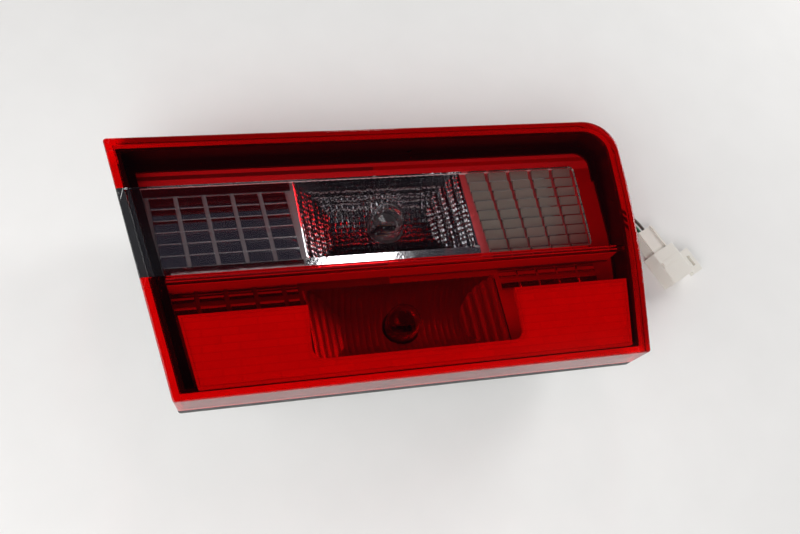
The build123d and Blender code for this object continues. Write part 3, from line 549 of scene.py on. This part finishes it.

# %% Matt strips, painted light band and pale wall
off_level = add_math(zone_group, "ABSOLUTE", rise, 0.0)
land = add_math(zone_group, "LESS_THAN", off_level, LEVEL_SLACK)
above = add_math(zone_group, "GREATER_THAN", rise, ROW_EDGE[0])
below = add_math(zone_group, "LESS_THAN", rise, ROW_EDGE[1])
row_edge = add_math(zone_group, "MULTIPLY", above, below, ROW_EDGE_SHARE)
wall = add_math(zone_group, "GREATER_THAN", rise, WALL_FOOT)
# Painted light: the band above the window is made pale to lift its shaded recess. The painted shade
# line left along it stands for the shade of a moulded ridge.
high = add_math(zone_group, "GREATER_THAN", parts.outputs["Y"], LIT_BAND_FOOT)
from_shade_line = distance_from(zone_group, parts.outputs["Y"], SHADE_LINE_MIDDLE)
beside_shade_line = add_math(zone_group, "GREATER_THAN", from_shade_line, SHADE_LINE_HALF)
band = add_math(zone_group, "MULTIPLY", high, beside_shade_line, land)
zone_group.links.new(add_math(zone_group, "MAXIMUM", land, row_edge, wall), end.inputs["Matt"])
zone_group.links.new(add_math(zone_group, "MAXIMUM", band, wall), end.inputs["Pale"])
print("matt strips, pale band and wall: up to", LEVEL_SLACK, "and from", WALL_FOOT, "m")

# %% Satin steps and bowls
over_foot = add_math(zone_group, "GREATER_THAN", rise, SATIN_FOOT)
stepped = add_math(zone_group, "SUBTRACT", over_foot, wall)
zone_group.links.new(add_math(zone_group, "MULTIPLY", stepped, right), end.inputs["Satin"])
from_ledge = distance_from(zone_group, parts.outputs["Y"], LEDGE_MIDDLE)
on_ledge = add_math(zone_group, "LESS_THAN", from_ledge, LEDGE_HALF)
allowance = add_math(zone_group, "MULTIPLY", on_ledge, LEDGE_DEPTH)
depth = add_math(zone_group, "ADD", rise, allowance)
zone_group.links.new(add_math(zone_group, "LESS_THAN", depth, -BOWL_DEPTH), end.inputs["Bowl"])
print("satin steps from", SATIN_FOOT, "m up, bowls from", BOWL_DEPTH, "m down")

# %% Facets
facet_group, start, end = new_group("facets", {"Facet Size": 330.0, "Jitter": 0.35}, ["Height"])
places = facet_group.nodes.new("ShaderNodeTexCoord")
cells = facet_group.nodes.new("ShaderNodeTexVoronoi")
facet_group.links.new(places.outputs["Object"], cells.inputs["Vector"])
facet_group.links.new(start.outputs["Facet Size"], cells.inputs["Scale"])
facet_group.links.new(start.outputs["Jitter"], cells.inputs["Randomness"])
dome = add_math(facet_group, "POWER", cells.outputs["Distance"], 2.0)
facet_group.links.new(add_math(facet_group, "MULTIPLY", dome, -1.0), end.inputs["Height"])
print("group:", facet_group.name)

# %% Reflector colours
COAT_COLOURS = ((0.80, 0.80, 0.82), (0.88, 0.88, 0.89))
UPPER_BOWL_COLOUR = (0.32, 0.315, 0.33)
LOWER_BOWL_COLOUR = (0.5, 0.49, 0.5)
SATIN_COLOUR = (0.23, 0.205, 0.175)
LEFT_MATT_COLOUR = (0.22, 0.215, 0.225)
# The matt strips on the right carry a painted red reflection of the lens.
RIGHT_MATT_PAINTED_REFLECTION_COLOUR = (0.52, 0.07, 0.075)
# The pale colour serves the high wall and the painted light of the top band.
PALE_WALL_AND_PAINTED_LIGHT_COLOUR = (0.55, 0.52, 0.52)

material, tree, shader = start_finish("reflector_chrome")
zones = place_group(tree, zone_group)
ripple = place_group(tree, grain_group, Grain_Size=260.0)
coat = mix_colours(tree, ripple.outputs["Drift"], *COAT_COLOURS)
bowl = mix_colours(tree, zones.outputs["Lower"], UPPER_BOWL_COLOUR, LOWER_BOWL_COLOUR)
coat = mix_colours(tree, zones.outputs["Bowl"], coat, bowl)
coat = mix_colours(tree, zones.outputs["Satin"], coat, SATIN_COLOUR)
# Left matt strips are grey, and on the right they take the painted red reflection of the lens.
matt = mix_colours(tree, zones.outputs["Right"], LEFT_MATT_COLOUR, RIGHT_MATT_PAINTED_REFLECTION_COLOUR)
coat = mix_colours(tree, zones.outputs["Matt"], coat, matt)
# Painted light on the top band, and the pale high wall.
coat = mix_colours(tree, zones.outputs["Pale"], coat, PALE_WALL_AND_PAINTED_LIGHT_COLOUR)
tree.links.new(coat, shader.inputs["Base Color"])
print("reflector colours by zone")

# %% Reflector gloss
MATT_ROUGHNESS = 0.45
SATIN_ROUGHNESS = 0.25
LOWER_ROUGHNESS = 0.48
MATT_METAL = 0.55
SATIN_METAL = 0.6

gloss = place_group(tree, haze_group, Clear=0.05, Hazy=0.13, Patch_Size=90.0)
strips = add_math(tree, "MULTIPLY", zones.outputs["Matt"], MATT_ROUGHNESS)
steps = add_math(tree, "MULTIPLY", zones.outputs["Satin"], SATIN_ROUGHNESS)
lower_bowl = add_math(tree, "MULTIPLY", zones.outputs["Bowl"], zones.outputs["Lower"], LOWER_ROUGHNESS)
rough = add_math(tree, "MAXIMUM", strips, steps, lower_bowl, gloss.outputs["Roughness"])
tree.links.new(rough, shader.inputs["Roughness"])
dull_strips = add_math(tree, "MULTIPLY", zones.outputs["Matt"], 1.0 - MATT_METAL)
dull_steps = add_math(tree, "MULTIPLY", zones.outputs["Satin"], 1.0 - SATIN_METAL)
dull = add_math(tree, "MAXIMUM", dull_strips, zones.outputs["Pale"], dull_steps)
tree.links.new(add_math(tree, "SUBTRACT", 1.0, dull), shader.inputs["Metallic"])
print("reflector gloss by zone")

# %% Reflector relief
FACET_HEIGHT = 2.2
LOWER_FACET_SHARE = 0.3
RIPPLE_HEIGHT = 0.12
REFLECTOR_RELIEF = 0.35
REFLECTOR_DEPTH = 1.2 * MM

facets = place_group(tree, facet_group)
smooth = add_math(tree, "MULTIPLY", zones.outputs["Lower"], 1.0 - LOWER_FACET_SHARE)
share = add_math(tree, "SUBTRACT", 1.0, smooth)
cut = add_math(tree, "MULTIPLY", facets.outputs["Height"], zones.outputs["Bowl"], FACET_HEIGHT, share)
wave = add_math(tree, "MULTIPLY", ripple.outputs["Height"], RIPPLE_HEIGHT)
raise_surface(tree, shader, add_math(tree, "ADD", cut, wave), REFLECTOR_RELIEF, REFLECTOR_DEPTH)
dress("reflector_chrome", material)

# %% [markdown]
# ## Red panel
#
# Behind the red lens a panel of red plastic frames the lower bowl. It carries a fine moulded
# texture of low steps, which shows as faint dashes. Modelling thousands of steps would cost a
# lot for little, so a brick pattern lifts and shades the surface instead. The lens in front
# takes away what little green and blue the panel gives back, so its own red can stay moderate.

# %% Panel finish
PANEL_COLOURS = ((0.53, 0.04, 0.047), (0.66, 0.05, 0.058))
PANEL_ROUGHNESS = 0.35
STEP_SCALE = 100.0
STEP_WIDTH = 1.8
STEP_HEIGHT = 0.4
STEP_GAP = 0.03
STEP_SHADES = {"Color1": 1.0, "Color2": 0.75, "Mortar": 0.4}
STEP_SHADE_SHARE = 0.3
STEP_RELIEF = 0.25
STEP_DEPTH = 0.3 * MM

material, tree, shader = start_finish("panel_red")
texture = place_group(tree, grain_group, Grain_Size=700.0)
colour = mix_colours(tree, texture.outputs["Drift"], *PANEL_COLOURS)
places = tree.nodes.new("ShaderNodeTexCoord")
steps = tree.nodes.new("ShaderNodeTexBrick")
steps.inputs["Scale"].default_value = STEP_SCALE
steps.inputs["Mortar Size"].default_value = STEP_GAP
steps.inputs["Brick Width"].default_value = STEP_WIDTH
steps.inputs["Row Height"].default_value = STEP_HEIGHT
for label, shade in STEP_SHADES.items():
    steps.inputs[label].default_value = (shade, shade, shade, 1.0)
tree.links.new(places.outputs["Object"], steps.inputs["Vector"])
shaded = mix_colours(tree, STEP_SHADE_SHARE, colour, steps.outputs["Color"], "MULTIPLY")
tree.links.new(shaded, shader.inputs["Base Color"])
shader.inputs["Roughness"].default_value = PANEL_ROUGHNESS
raise_surface(tree, shader, steps.outputs["Color"], STEP_RELIEF, STEP_DEPTH)
dress("panel_red", material)

# %% [markdown]
# ## Metals
#
# Studs and screws are zinc plated: grey and slightly uneven. Contacts are stamped brass that has
# begun to dull, and the filaments are drawn wire. Metal that is the same all over looks like
# paint, so one recipe drifts between a bright and a dull colour and between a clear and a hazy
# gloss. Only the values differ from metal to metal, so one function is enough.

# %% Metal finishes
METAL_GRAIN = 900.0
METAL_PATCHES = 300.0
METAL_RELIEF = 0.1
METAL_DEPTH = 0.1 * MM


def metal(slot, bright, dull, clear, hazy):
    """Metal whose colour and gloss vary."""
    material, tree, shader = start_finish(slot)
    texture = place_group(tree, grain_group, Grain_Size=METAL_GRAIN)
    colour = mix_colours(tree, texture.outputs["Drift"], dull, bright)
    tree.links.new(colour, shader.inputs["Base Color"])
    shader.inputs["Metallic"].default_value = 1.0
    gloss = place_group(tree, haze_group, Clear=clear, Hazy=hazy, Patch_Size=METAL_PATCHES)
    tree.links.new(gloss.outputs["Roughness"], shader.inputs["Roughness"])
    raise_surface(tree, shader, texture.outputs["Height"], METAL_RELIEF, METAL_DEPTH)
    dress(slot, material)


metal("zinc_steel", bright=(0.66, 0.66, 0.64), dull=(0.5, 0.5, 0.49), clear=0.25, hazy=0.45)
metal("contact_brass", bright=(0.80, 0.63, 0.33), dull=(0.6, 0.45, 0.22), clear=0.2, hazy=0.4)
metal("filament_wire", bright=(0.5, 0.49, 0.47), dull=(0.4, 0.39, 0.37), clear=0.2, hazy=0.35)

# %% [markdown]
# ## Threaded studs
#
# Four steel studs hold the lamp to the body. CAD keeps them as plain shanks, because a thread is
# too fine to matter there, but a bare rod looks unfinished from behind. The thread is a tube of
# vertices whose radius rises and falls along a helix, and it fades out at the tip and under the
# collar. A screw modifier would make it too, but couldn't fade its ends.

# %% Thread
STUD_RADIUS = 2.48 * MM
THREAD_DEPTH = 0.42 * MM
THREAD_PITCH = 0.8 * MM
THREAD_END = 19.0 * MM
TIP_LENGTH = 0.8 * MM


def thread_radius(angle, height):
    """Radius of the stud at an angle and a height above its tip."""
    phase = (height / THREAD_PITCH - angle / math.tau) % 1.0
    valley = abs(2.0 * phase - 1.0)
    fade = min(1.0, max(0.0, (THREAD_END - height) / THREAD_PITCH))
    tip = max(0.0, 1.0 - height / TIP_LENGTH) * TIP_LENGTH
    return STUD_RADIUS - THREAD_DEPTH * valley * fade - tip


print("thread turns:", round(THREAD_END / THREAD_PITCH, 1))

# %% Helpers for posts
def add_ring(mesh, centre, height, radius_at, sides, turn):
    """Ring of vertices about an upright axis."""
    ring = []
    for side in range(sides):
        angle = turn + side * math.tau / sides
        radius = radius_at(angle, height)
        x = centre[0] + radius * math.cos(angle)
        y = centre[1] + radius * math.sin(angle)
        ring.append(mesh.verts.new((x, y, height)))
    return ring


def add_post(mesh, centre, levels, radius_at, sides, turn=0.0):
    """Closed post through rings at several levels."""
    rings = [add_ring(mesh, centre, level, radius_at, sides, turn) for level in levels]
    for low, high in zip(rings, rings[1:]):
        for side in range(sides):
            after = (side + 1) % sides
            mesh.faces.new((low[side], low[after], high[after], high[side]))
    mesh.faces.new(list(reversed(rings[0])))
    mesh.faces.new(rings[-1])


print("helpers:", add_ring.__name__, add_post.__name__)

# %% Places of the studs
pattern = mounts["stud_pattern"]
half_x = pattern["dims"]["spacing_x_mm"] / 2 * MM
half_y = pattern["dims"]["spacing_y_mm"] / 2 * MM
STUD_XS = (pattern["pos_m"][0] - half_x, pattern["pos_m"][0] + half_x)
STUD_YS = (pattern["pos_m"][1] - half_y, pattern["pos_m"][1] + half_y)
print("studs at x", [round(x, 4) for x in STUD_XS], "and y", [round(y, 4) for y in STUD_YS])

# %% Studs in place
STUD_SIDES = 32
ROWS_PER_TURN = 8
COLLAR_RADIUS = 3.5 * MM
COLLAR_LEVELS = (24.0 * MM, 26.5 * MM)
HEAD_ACROSS_FLATS = 9.0 * MM
HEAD_RADIUS = HEAD_ACROSS_FLATS / math.sqrt(3.0)
HEAD_LEVELS = (26.5 * MM, 30.0 * MM)
HEAD_SIDES = 6
HEAD_TURN = math.pi / 6

steel = bmesh.new()
step = THREAD_PITCH / ROWS_PER_TURN
rows = int(COLLAR_LEVELS[0] / step)
shank_levels = [row * step for row in range(rows)] + [COLLAR_LEVELS[0]]
for x in STUD_XS:
    for y in STUD_YS:
        add_post(steel, (x, y), shank_levels, thread_radius, STUD_SIDES)
        add_post(steel, (x, y), COLLAR_LEVELS, lambda angle, height: COLLAR_RADIUS, STUD_SIDES)
        add_post(steel, (x, y), HEAD_LEVELS, lambda angle, height: HEAD_RADIUS, HEAD_SIDES, HEAD_TURN)
stud_mesh = bpy.data.meshes.new("threaded_studs")
steel.to_mesh(stud_mesh)
steel.free()
stand_in("threaded_studs", stud_mesh, "studs")
print("studs:", len(stud_mesh.polygons), "faces")

# %% [markdown]
# ## Filaments
#
# Inside each bulb two lead wires carry a coil of thin wire. CAD has a plain rod across the leads.
# The coil is a curve wound round that rod's line, turned into a mesh, because a finished mesh is
# surer to reach the exported model than a curve.

# %% Coil and leads
LEAD_SPACING = 7.0 * MM
LEAD_RADIUS = 0.4 * MM
LEAD_FOOT = 17.5 * MM
LEAD_TOP = 40.5 * MM
COIL_RADIUS = 0.55 * MM
COIL_WIRE = 0.14 * MM
COIL_TURNS = 9
STEPS_PER_TURN = 14
COIL_STEPS = COIL_TURNS * STEPS_PER_TURN


def coil_points(x, y):
    """Points of a coil wound between the tops of the leads."""
    points = []
    for step in range(COIL_STEPS + 1):
        share = step / COIL_STEPS
        angle = share * COIL_TURNS * math.tau
        along = x - LEAD_SPACING / 2 + share * LEAD_SPACING
        aside = y + COIL_RADIUS * math.sin(angle)
        points.append((along, aside, LEAD_TOP - COIL_RADIUS * math.cos(angle)))
    return points


def joined_mesh(name, curves):
    """One mesh made of several curves."""
    joined = bmesh.new()
    for curve in curves:
        holder = bpy.data.objects.new("holder", curve)
        part_mesh = bpy.data.meshes.new_from_object(holder)
        joined.from_mesh(part_mesh)
        bpy.data.objects.remove(holder)
        bpy.data.meshes.remove(part_mesh)
    mesh = bpy.data.meshes.new(name)
    joined.to_mesh(mesh)
    joined.free()
    return mesh


print("coil:", COIL_TURNS, "turns in", COIL_STEPS, "steps")

# %% Filaments in place
BULBS = ("reverse", "tail")

for name in BULBS:
    low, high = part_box(name + "_bulb")
    x = (low[0] + high[0]) / 2
    y = (low[1] + high[1]) / 2
    coil_curve = round_curve(name + "_coil", COIL_WIRE, resolution=2)
    add_run(coil_curve, "POLY", coil_points(x, y))
    lead_curve = round_curve(name + "_leads", LEAD_RADIUS, resolution=3)
    for side in (-1, 1):
        lead_x = x + side * LEAD_SPACING / 2
        add_run(lead_curve, "POLY", [(lead_x, y, LEAD_FOOT), (lead_x, y, LEAD_TOP)])
    filament_mesh = joined_mesh(name + "_wound_filament", (coil_curve, lead_curve))
    stand_in(name + "_wound_filament", filament_mesh, name + "_filament")
    print(name, "filament:", len(filament_mesh.polygons), "faces")

# %% [markdown]
# ## Floor and light
#
# A pale floor and soft lamps show the form without drama. The floor fades into the backdrop, so
# that no edge shows. What a bright reflector shows is its surroundings, so the lamps' places
# matter more than their power: a narrow one behind the top edge is mirrored in the ledge under
# the upper bowl, and one on each side puts sparks into the facets. A large one, high in front,
# gives most of the light. It is hidden from mirrors and from clear plastic, where it would draw
# white lines across the cells. The air overhead is dim, so the left-hand cells keep their depth,
# apart from a faint glow that the right-hand cells mirror.

# %% Floor
FLOOR_SIZE = 3.0
FLOOR_COLOURS = ((0.80, 0.795, 0.78), (0.84, 0.835, 0.82))
FLOOR_ROUGHNESS = 0.75

bpy.ops.mesh.primitive_plane_add(size=FLOOR_SIZE, location=(0.0, 0.0, 0.0))
floor = bpy.context.object
floor.name = "floor"
material, tree, shader = start_finish("floor")
texture = place_group(tree, grain_group, Grain_Size=300.0)
floor_colour = mix_colours(tree, texture.outputs["Drift"], *FLOOR_COLOURS)
tree.links.new(floor_colour, shader.inputs["Base Color"])
shader.inputs["Roughness"].default_value = FLOOR_ROUGHNESS
floor.data.materials.append(material)
print("floor", FLOOR_SIZE, "m wide")

# %% Fade into the backdrop
HORIZON = (0.78, 0.77, 0.755, 1.0)
FADE_REACH = (0.4, 0.85)

places = tree.nodes.new("ShaderNodeTexCoord")
far = tree.nodes.new("ShaderNodeVectorMath")
far.operation = "LENGTH"
tree.links.new(places.outputs["Object"], far.inputs[0])
fade = tree.nodes.new("ShaderNodeMapRange")
fade.interpolation_type = "SMOOTHSTEP"
fade.inputs["From Min"].default_value = FADE_REACH[0]
fade.inputs["From Max"].default_value = FADE_REACH[1]
tree.links.new(far.outputs["Value"], fade.inputs["Value"])
rays = tree.nodes.new("ShaderNodeLightPath")
seen_rays = [rays.outputs[kind] for kind in ("Is Camera Ray", "Is Glossy Ray", "Is Transmission Ray")]
seen = add_math(tree, "MAXIMUM", *seen_rays)
backdrop = tree.nodes.new("ShaderNodeEmission")
backdrop.inputs["Color"].default_value = HORIZON
faded = add_math(tree, "MULTIPLY", fade.outputs["Result"], seen)
mix_shaders(tree, faded, shader.outputs["BSDF"], backdrop.outputs["Emission"])
print("floor fades from", FADE_REACH[0], "to", FADE_REACH[1], "m")

# %% Lamps
LAMP_AIM = Vector((0.0, 0.0, 50.0)) * MM
LAMPS = {
    "back": {"place": (0.18, 0.86, 0.8), "size": (0.14, 0.3), "watts": 0.8},
    "front": {"place": (-0.45, -0.65, 0.95), "size": (1.0, 0.8), "watts": 13.0},
    "left": {"place": (-0.95, -0.3, 0.5), "size": (1.1, 0.7), "watts": 5.5},
    "right": {"place": (0.9, 0.48, 0.47), "size": (0.5, 0.5), "watts": 5.5},
}
MIRRORED_LAMPS = ("back", "left", "right")

for name, look in LAMPS.items():
    lamp_data = bpy.data.lights.new(name, "AREA")
    lamp_data.shape = "RECTANGLE"
    lamp_data.size = look["size"][0]
    lamp_data.size_y = look["size"][1]
    lamp_data.energy = look["watts"]
    lamp = bpy.data.objects.new(name, lamp_data)
    lamp.location = look["place"]
    aim = LAMP_AIM - Vector(look["place"])
    lamp.rotation_euler = aim.to_track_quat("-Z", "Y").to_euler()
    lamp.visible_glossy = name in MIRRORED_LAMPS
    lamp.visible_transmission = name in MIRRORED_LAMPS
    scene.collection.objects.link(lamp)
    print("lamp", name, look["watts"], "W")

# %% Air from the horizon up
OVERHEAD = (0.02, 0.017, 0.025, 1.0)
HORIZON_TOP = 0.08
OVERHEAD_FOOT = 0.55

world = bpy.data.worlds.new("studio")
scene.world = world
world.use_nodes = True
air = world.node_tree
places = air.nodes.new("ShaderNodeTexCoord")
parts = air.nodes.new("ShaderNodeSeparateXYZ")
fade = air.nodes.new("ShaderNodeValToRGB")
fade.color_ramp.elements[0].position = HORIZON_TOP
fade.color_ramp.elements[0].color = HORIZON
fade.color_ramp.elements[1].position = OVERHEAD_FOOT
fade.color_ramp.elements[1].color = OVERHEAD
air.links.new(places.outputs["Generated"], parts.inputs["Vector"])
air.links.new(parts.outputs["Z"], fade.inputs["Fac"])
print("air fades from", HORIZON_TOP, "to", OVERHEAD_FOOT, "of the way up")

# %% Glow overhead
GLOW = (0.21, 0.185, 0.16)
GLOW_TOWARDS = (0.40, -0.14, 0.9)
GLOW_EDGES = (0.94, 0.99)

near = air.nodes.new("ShaderNodeVectorMath")
near.operation = "DOT_PRODUCT"
near.inputs[1].default_value = Vector(GLOW_TOWARDS).normalized()
air.links.new(places.outputs["Generated"], near.inputs[0])
share = air.nodes.new("ShaderNodeMapRange")
share.interpolation_type = "SMOOTHSTEP"
share.inputs["From Min"].default_value = GLOW_EDGES[0]
share.inputs["From Max"].default_value = GLOW_EDGES[1]
air.links.new(near.outputs["Value"], share.inputs["Value"])
glow = mix_colours(air, share.outputs["Result"], (0.0, 0.0, 0.0), GLOW)
total = mix_colours(air, 1.0, fade.outputs["Color"], glow, "ADD")
air.links.new(total, air.nodes["Background"].inputs["Color"])
print("glow towards", GLOW_TOWARDS)
